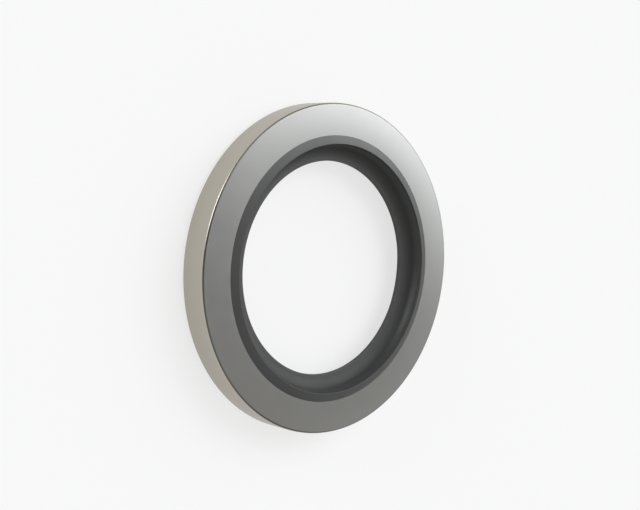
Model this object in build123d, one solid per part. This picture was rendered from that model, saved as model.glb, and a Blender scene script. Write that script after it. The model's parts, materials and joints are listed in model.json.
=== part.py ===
from build123d import *
import os

# A bonded seal: a flat metal ring with a rubber element moulded onto its inner wall.
# Sizes are in millimetres. The seal lies flat, its axis is Z, and the crest of the
# lower sealing lip stands on Z = 0. Its upper and lower halves are mirror images.

# The rubber element, from the bore outwards
bore_diameter = 10.45        # clears a 10 mm bolt
web_thickness = 0.20         # thin web that centres the seal on the bolt
flank_width = 0.815          # from the bore out to the lip's crest
throat_radius = 0.70         # hollow between the web and the lip
lip_height = 0.14            # crest above the metal face
bevel_width = 0.415          # slope from the crest out to the metal's inner edge

# The metal ring around it
ring_width = 1.545
ring_thickness = 1.5
rim_edge_radius = 0.11

# The most of a wall that a rounded edge may take up
largest_share = 0.9

# Radii of the section's corners, and their heights above or below its middle plane
bore_radius = bore_diameter / 2
crest_radius = bore_radius + flank_width
bond_radius = crest_radius + bevel_width
rim_radius = bond_radius + ring_width

web_half = web_thickness / 2
face_half = ring_thickness / 2
crest_half = face_half + lip_height


def section_from(upper_corners):
    """A section in the XZ plane, from the corners of its upper half going inwards."""
    lower_corners = [(radius, -height) for radius, height in reversed(upper_corners)]
    return Plane.XZ * make_face(Polyline(*upper_corners, *lower_corners, close=True))


def rounded(section, corner_radius, corner_half, edge_radius, *walls):
    """The section with two mirrored corners rounded, as far as their walls allow."""
    tolerance = 1e-6
    corners = [
        corner for corner in section.vertices()
        if abs(corner.X - corner_radius) < tolerance
        and abs(abs(corner.Z) - corner_half) < tolerance
    ]
    room = largest_share * min(walls)
    return fillet(corners, min(edge_radius, room))


def revolved(section):
    """The section turned once around the axis and set down on its lower lip."""
    return Pos(0, 0, crest_half) * revolve(section, axis=Axis.Z)


def make_metal_ring():
    """A flat ring of rectangular section with its outer edges rounded."""
    section = section_from([
        (rim_radius, face_half),
        (bond_radius, face_half),
    ])
    section = rounded(section, rim_radius, face_half, rim_edge_radius,
                      face_half, ring_width)
    return revolved(section)


def make_rubber_seal():
    """Two sealing lips, hollow on the inside, with a thin web between them."""
    section = section_from([
        (bond_radius, face_half),
        (crest_radius, crest_half),
        (crest_radius, web_half),
        (bore_radius, web_half),
    ])
    section = rounded(section, crest_radius, web_half, throat_radius,
                      crest_half - web_half, flank_width)
    return revolved(section)


parts = {
    "metal_ring": make_metal_ring(),
    "rubber_seal": make_rubber_seal(),
}

os.makedirs("parts", exist_ok=True)
for name, part in parts.items():
    export_step(part, f"parts/{name}.step")
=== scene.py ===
import json
import math

import bmesh
import bpy
from mathutils import Euler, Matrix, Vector


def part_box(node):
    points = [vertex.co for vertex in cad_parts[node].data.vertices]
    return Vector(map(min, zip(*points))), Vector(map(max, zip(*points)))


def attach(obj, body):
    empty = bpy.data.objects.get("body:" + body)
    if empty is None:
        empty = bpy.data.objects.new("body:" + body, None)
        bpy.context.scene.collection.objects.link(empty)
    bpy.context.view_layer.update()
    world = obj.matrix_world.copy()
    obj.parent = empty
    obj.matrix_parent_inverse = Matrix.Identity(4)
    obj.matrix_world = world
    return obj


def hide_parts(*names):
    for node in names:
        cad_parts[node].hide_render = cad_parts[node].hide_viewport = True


# A bonded seal that lies flat: a plated steel ring with a double rubber lip moulded into it.
# Sizes are in metres, as in the frame.
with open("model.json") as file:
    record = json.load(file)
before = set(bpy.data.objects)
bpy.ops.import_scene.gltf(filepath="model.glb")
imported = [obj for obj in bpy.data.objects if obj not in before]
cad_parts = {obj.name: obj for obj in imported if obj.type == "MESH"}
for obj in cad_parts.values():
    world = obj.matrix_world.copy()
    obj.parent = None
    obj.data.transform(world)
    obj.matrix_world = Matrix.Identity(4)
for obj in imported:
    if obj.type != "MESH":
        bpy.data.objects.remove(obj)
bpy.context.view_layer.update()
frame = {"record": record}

MM = 0.001

# Sizes of the two pieces, from the frame
ring_low, ring_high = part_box("metal_ring")
seal_low, seal_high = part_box("rubber_seal")
bore = next(m for m in frame["record"]["mounts"] if m["name"] == "bolt_bore")

rim_radius = ring_high.x
bond_radius = seal_high.x
bore_radius = bore["dims"]["r_mm"] * MM
web_thickness = bore["dims"]["length_mm"] * MM
ring_thickness = ring_high.z - ring_low.z
middle_height = (seal_low.z + seal_high.z) / 2

# Sizes that the frame doesn't state
rim_edge_radius = 0.11 * MM
crest_radius = 6.04 * MM
throat_radius = 0.70 * MM
lip_edge_width = 0.025 * MM
web_edge_width = 0.02 * MM

# Steps around the seal and across each rounding, and the angle from which an edge stays sharp
turn_steps = 288
rim_edge_steps = 8
throat_steps = 24
small_edge_steps = 3
sharp_from = math.radians(32)

# How much the large faces decide the shading at their edges: 50 is neutral and 100 the most
large_face_weight = 100


def spun(corners):
    """A closed ring with this section, from its corners as (radius, height)."""
    mesh = bmesh.new()
    points = [mesh.verts.new((radius, 0, height)) for radius, height in corners]
    sides = [mesh.edges.new(pair) for pair in zip(points, points[1:] + points[:1])]
    bmesh.ops.spin(mesh, geom=points + sides, cent=(0, 0, 0), axis=(0, 0, 1),
                   dvec=(0, 0, 0), angle=math.tau, steps=turn_steps,
                   use_merge=True, use_normal_flip=False, use_duplicate=False)
    bmesh.ops.recalc_face_normals(mesh, faces=mesh.faces)
    return mesh


def round_circle(mesh, radius, height, width, steps):
    """Rounds the circle of edges at this radius and height."""
    tolerance = 0.001 * MM

    def on_circle(vertex):
        across = math.hypot(vertex.co.x, vertex.co.y)
        return abs(across - radius) < tolerance and abs(vertex.co.z - height) < tolerance

    circle = [edge for edge in mesh.edges if all(on_circle(v) for v in edge.verts)]
    bmesh.ops.bevel(mesh, geom=circle, offset=width, offset_type="OFFSET",
                    segments=steps, profile=0.5, affect="EDGES", material=-1)


def finished(name, mesh, material):
    """The mesh as a smooth-shaded piece of this name."""
    data = bpy.data.meshes.new(name)
    mesh.to_mesh(data)
    mesh.free()
    data.materials.append(material)
    data.shade_smooth()
    data.set_sharp_from_angle(angle=sharp_from)
    piece = bpy.data.objects.new(name, data)
    bpy.context.scene.collection.objects.link(piece)
    flat = piece.modifiers.new("flat faces stay flat", "WEIGHTED_NORMAL")
    flat.weight = large_face_weight
    flat.keep_sharp = True
    return piece


def make_ring():
    """The flat steel ring, with its two outer edges rounded."""
    top = middle_height + ring_thickness / 2
    bottom = middle_height - ring_thickness / 2
    mesh = spun([
        (rim_radius, top), (bond_radius, top), (bond_radius, bottom), (rim_radius, bottom),
    ])
    for height in (top, bottom):
        round_circle(mesh, rim_radius, height, rim_edge_radius, rim_edge_steps)
    return finished("steel_ring", mesh, satin_steel())


def make_lips():
    """The rubber: a lip above and below, each hollowed down to a thin centring web."""
    half_ring = ring_thickness / 2
    half_web = web_thickness / 2
    half_lips = (seal_high.z - seal_low.z) / 2
    upper = [
        (bond_radius, half_ring), (crest_radius, half_lips),
        (crest_radius, half_web), (bore_radius, half_web),
    ]
    lower = [(radius, -height) for radius, height in reversed(upper)]
    mesh = spun([(radius, middle_height + height) for radius, height in upper + lower])
    for side in (1, -1):
        web_face = middle_height + side * half_web
        crest = middle_height + side * half_lips
        round_circle(mesh, crest_radius, web_face, throat_radius, throat_steps)
        round_circle(mesh, crest_radius, crest, lip_edge_width, small_edge_steps)
        round_circle(mesh, bore_radius, web_face, web_edge_width, small_edge_steps)
    return finished("rubber_lips", mesh, moulded_rubber())


def add(tree, kind, values=(), **settings):
    """A new node, with settings on itself and values or links on its sockets."""
    made = tree.nodes.new("ShaderNode" + kind)
    for name, setting in settings.items():
        setattr(made, name, setting)
    for socket, value in dict(values).items():
        if isinstance(value, bpy.types.NodeSocket):
            tree.links.new(value, made.inputs[socket])
        else:
            made.inputs[socket].default_value = value
    return made


def new_material(name):
    """A new material, with its node tree and its main shader."""
    material = bpy.data.materials.new(name)
    material.use_nodes = True
    tree = material.node_tree
    return material, tree, tree.nodes["Principled BSDF"]


def noise(tree, place, size, detail):
    """Soft noise with patches of about this size, from 0 to 1 about a half."""
    cloud = add(tree, "TexNoise", {"Vector": place, "Scale": 1 / size, "Detail": detail})
    return cloud.outputs["Fac"]


def spread(tree, source, low, high):
    """The middle range of a noise, spread from one value to another."""
    noise_low = 0.3
    noise_high = 0.7
    ranged = add(tree, "MapRange", {
        "Value": source, "From Min": noise_low, "From Max": noise_high, "To Min": low, "To Max": high,
    })
    return ranged.outputs["Result"]


def blend(tree, factor, first, second):
    """A colour between two others."""
    mix = add(tree, "Mix", data_type="RGBA")
    tree.links.new(factor, mix.inputs["Factor"])
    for socket, colour in (("A", first), ("B", second)):
        inlet = next(i for i in mix.inputs if i.name == socket and i.type == "RGBA")
        inlet.default_value = (*colour, 1)
    return next(o for o in mix.outputs if o.type == "RGBA")


def ramp(tree, source, stops):
    """A colour that runs through these stops, each a place from 0 to 1 and a colour there."""
    made = add(tree, "ValToRGB", {"Fac": source})
    elements = made.color_ramp.elements
    for place, _ in stops[1:-1]:
        elements.new(place)
    for element, (place, colour) in zip(elements, stops):
        element.position = place
        element.color = (*colour, 1)
    return made.outputs["Color"]


def relief(tree, shader, height, depth):
    """Raises the surface by a noise, by this depth from its lowest to its highest."""
    bump = add(tree, "Bump", {"Height": height, "Distance": depth})
    tree.links.new(bump.outputs["Normal"], shader.inputs["Normal"])


# The steel's colours, and where they change from the upright rim, 0, to the level faces, 1
# The rim's colour is lighter and warmer than the faces' as a painted reflection
rim_painted_reflection_colour = (0.60, 0.56, 0.49)
# The rounded edges' dark colour is painted shade: the dark line that the edge reflects, painted into
# the steel
edge_painted_shade_colour = (0.18, 0.168, 0.149)
face_colour = (0.42, 0.42, 0.41)
rim_ends = 0.50
# The painted shade on the rounded edges lies between these two places
painted_shade_begins = 0.62
painted_shade_ends = 0.96

# The steel's roughness and the size of its patches
steel_smoothest = 0.25
steel_roughest = 0.27
steel_patches = 0.8 * MM


def satin_steel():
    """Plated steel: grey and satin on the faces, with a painted reflection that makes the rim lighter
    and warmer and a painted shade that darkens the rounded edges.
    """
    material, tree, shader = new_material("satin steel")
    coordinates = add(tree, "TexCoord")
    upright = add(tree, "SeparateXYZ", {"Vector": coordinates.outputs["Normal"]})
    flatness = add(tree, "Math", {0: upright.outputs["Z"]}, operation="ABSOLUTE")
    # Painted reflection on the rim and painted shade on the rounded edges, placed by how level the
    # surface is
    colour = ramp(tree, flatness.outputs["Value"], [
        (0, rim_painted_reflection_colour), (rim_ends, rim_painted_reflection_colour),
        (painted_shade_begins, edge_painted_shade_colour), (painted_shade_ends, edge_painted_shade_colour),
        (1, face_colour),
    ])
    tree.links.new(colour, shader.inputs["Base Color"])
    clouds = noise(tree, coordinates.outputs["Object"], steel_patches, detail=2)
    rough = spread(tree, clouds, steel_smoothest, steel_roughest)
    tree.links.new(rough, shader.inputs["Roughness"])
    shader.inputs["Metallic"].default_value = 1
    return material


# The rubber's colours, and where they change from the bore, 0, to the lip's crest, 1
# The web's paler colour near the bore is painted light
web_painted_light_colour = (0.060, 0.060, 0.058)
# The hollow's near-black colour is painted shade, darkest deep in the hollow
hollow_painted_shade_colour = (0.006, 0.006, 0.006)
lip_colour = (0.034, 0.034, 0.033)
web_ends = 0.14
hollow_darkest = 0.80

# The rubber's roughness on the lip, and how much duller it is in the hollow up to this place
lip_smoothest = 0.41
lip_roughest = 0.47
hollow_dulling = 0.22
dull_until = 0.63

# The rubber's gloss, the size of its patches, and its moulded grain
rubber_index = 1.65
rubber_patches = 1.2 * MM
rubber_grain = 0.12 * MM
rubber_grain_depth = 0.002 * MM


def moulded_rubber():
    """Black rubber: smoother on the lips and dull in the hollows, with painted shade that darkens the
    hollows and painted light that makes the web paler at the bore.
    """
    material, tree, shader = new_material("moulded rubber")
    place = add(tree, "TexCoord").outputs["Object"]
    flat_place = add(tree, "VectorMath", {0: place, 1: (1, 1, 0)}, operation="MULTIPLY")
    radius = add(tree, "VectorMath", {0: flat_place.outputs["Vector"]}, operation="LENGTH")
    outward = add(tree, "MapRange", {
        "Value": radius.outputs["Value"], "From Min": bore_radius, "From Max": crest_radius,
    })
    # Painted light on the web and painted shade in the hollow, placed by the distance from the bore
    colour = ramp(tree, outward.outputs["Result"], [
        (0, web_painted_light_colour), (web_ends, web_painted_light_colour), (hollow_darkest, hollow_painted_shade_colour), (1, lip_colour),
    ])
    tree.links.new(colour, shader.inputs["Base Color"])
    clouds = noise(tree, place, rubber_patches, detail=3)
    lip_rough = spread(tree, clouds, lip_smoothest, lip_roughest)
    dulling = add(tree, "MapRange", {
        "Value": outward.outputs["Result"], "From Min": dull_until,
        "To Min": hollow_dulling, "To Max": 0,
    })
    rough = add(tree, "Math", {0: lip_rough, 1: dulling.outputs["Result"]})
    tree.links.new(rough.outputs["Value"], shader.inputs["Roughness"])
    grain = noise(tree, place, rubber_grain, detail=3)
    relief(tree, shader, grain, rubber_grain_depth)
    shader.inputs["IOR"].default_value = rubber_index
    return material


# The camera stands where the photo's stood about the seal's face, 46 degrees above it
photo_width = 640
focal_pixels = 1157.5
view_turn = math.radians(42.89)
view_tilt = math.radians(-4.58)

# The middle of the upper metal face, seen from the camera along the camera's own axes
face_seen_at = Vector((0.748, -0.695, -55.98)) * MM

# The camera's sensor in its own millimetres, and the nearest and farthest that it sees
sensor_width = 36
nearest_seen = 1 * MM
farthest_seen = 5


def make_camera():
    """The camera, at the photo's angle and distance."""
    data = bpy.data.cameras.new("camera")
    data.sensor_width = sensor_width
    data.lens = sensor_width * focal_pixels / photo_width
    data.clip_start = nearest_seen
    data.clip_end = farthest_seen
    camera = bpy.data.objects.new("camera", data)
    bpy.context.scene.collection.objects.link(camera)
    camera.rotation_mode = "YXZ"
    camera.rotation_euler = Euler((view_tilt, -view_turn, 0), "YXZ")
    face_centre = Vector((0, 0, ring_high.z))
    camera.location = face_centre - camera.rotation_euler.to_matrix() @ face_seen_at
    bpy.context.scene.camera = camera


# The room's light where nothing glows, and the sum of all its light on an upward surface
room_light = 0.09
light_level = 0.90

# The light's colour where it is dim and where it is bright
dim_light_colour = (1.0, 0.955, 0.90)
bright_light_colour = (0.97, 1.0, 1.01)

# Soft round glows: degrees from +X towards +Y, degrees up, degrees to where it fades out, strength.
# The first three stand across the seal from the camera, where its upper side mirrors them.
main_glow = (31, 31, 34, 3.13)
low_glow = (-28, 17, 38, 0.56)
high_glow = (76, 52, 28, 2.4)
ceiling_glow = (-80, 77, 48, 0.44)

# One draws the bright line along the rim's edge, and two keep the steel grey from other sides
edge_line_glow = (146, 4, 24, 5.2)
fill_glow = (-115, 36, 58, 0.27)
horizon_glow = (0, -90, 145, 1.0)

room_glows = (
    main_glow, low_glow, high_glow, ceiling_glow, edge_line_glow, fill_glow, horizon_glow,
)

# The backdrop's white as the camera sees it
backdrop_white = 0.947

# The floor, the share of glow in what is seen of it, and that glow's strength in reflections
floor_colour = 0.9
floor_roughness = 0.9
floor_glow = 0.7
reflected_glow = 0.68
floor_half_width = 3


def add_glow(tree, before, azimuth, elevation, reach, strength):
    """The room's light so far, with one more soft round glow that fades out at its reach."""
    turn = math.radians(azimuth)
    rise = math.radians(elevation)
    towards = (math.cos(turn) * math.cos(rise), math.sin(turn) * math.cos(rise), math.sin(rise))
    place = add(tree, "TexCoord").outputs["Generated"]
    facing = add(tree, "VectorMath", {0: place, 1: towards}, operation="DOT_PRODUCT")
    glow = add(tree, "MapRange", {
        "Value": facing.outputs["Value"],
        "From Min": math.cos(math.radians(reach)), "To Max": strength,
    }, interpolation_type="SMOOTHSTEP")
    total = add(tree, "Math", {0: before, 1: glow.outputs["Result"]})
    return total.outputs["Value"]


def make_world():
    """A dim room with its soft glows, and a white backdrop for the camera."""
    world = bpy.data.worlds.new("studio")
    bpy.context.scene.world = world
    world.use_nodes = True
    tree = world.node_tree
    light = room_light
    for glow in room_glows:
        light = add_glow(tree, light, *glow)
    room = tree.nodes["Background"]
    colour = blend(tree, light, dim_light_colour, bright_light_colour)
    tree.links.new(colour, room.inputs["Color"])
    tree.links.new(light, room.inputs["Strength"])
    backdrop = add(tree, "Background", {"Color": (1, 1, 1, 1), "Strength": backdrop_white})
    path = add(tree, "LightPath")
    both = add(tree, "MixShader", {
        0: path.outputs["Is Camera Ray"], 1: room.outputs[0], 2: backdrop.outputs[0],
    })
    tree.links.new(both.outputs[0], tree.nodes["World Output"].inputs["Surface"])


def pale_floor():
    """A matt floor that glows a little where it is seen, so that it looks white."""
    material, tree, shader = new_material("pale floor")
    shader.inputs["Base Color"].default_value = (floor_colour, floor_colour, floor_colour, 1)
    shader.inputs["Roughness"].default_value = floor_roughness
    shader.inputs["Specular IOR Level"].default_value = 0
    lit = floor_colour * light_level
    full_glow = (backdrop_white - (1 - floor_glow) * lit) / floor_glow
    path = add(tree, "LightPath")
    seen = add(tree, "Math", {
        0: path.outputs["Is Camera Ray"], 1: path.outputs["Is Glossy Ray"],
    }, operation="MAXIMUM")
    share = add(tree, "Math", {0: seen.outputs["Value"], 1: floor_glow}, operation="MULTIPLY")
    strength = add(tree, "MapRange", {
        "Value": path.outputs["Is Camera Ray"], "To Min": reflected_glow, "To Max": full_glow,
    })
    glow = add(tree, "Emission", {"Strength": strength.outputs["Result"]})
    both = add(tree, "MixShader", {
        0: share.outputs["Value"], 1: shader.outputs[0], 2: glow.outputs[0],
    })
    tree.links.new(both.outputs[0], tree.nodes["Material Output"].inputs["Surface"])
    return material


def make_floor():
    """A plain pale floor that keeps the seal's shadow."""
    mesh = bmesh.new()
    bmesh.ops.create_grid(mesh, x_segments=1, y_segments=1, size=floor_half_width)
    data = bpy.data.meshes.new("floor")
    mesh.to_mesh(data)
    mesh.free()
    data.materials.append(pale_floor())
    floor = bpy.data.objects.new("floor", data)
    bpy.context.scene.collection.objects.link(floor)


steel_ring = make_ring()
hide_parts("metal_ring")
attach(steel_ring, "root")

rubber_lips = make_lips()
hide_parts("rubber_seal")
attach(rubber_lips, "root")

make_camera()
make_world()
make_floor()

bpy.context.scene.view_settings.view_transform = "Standard"
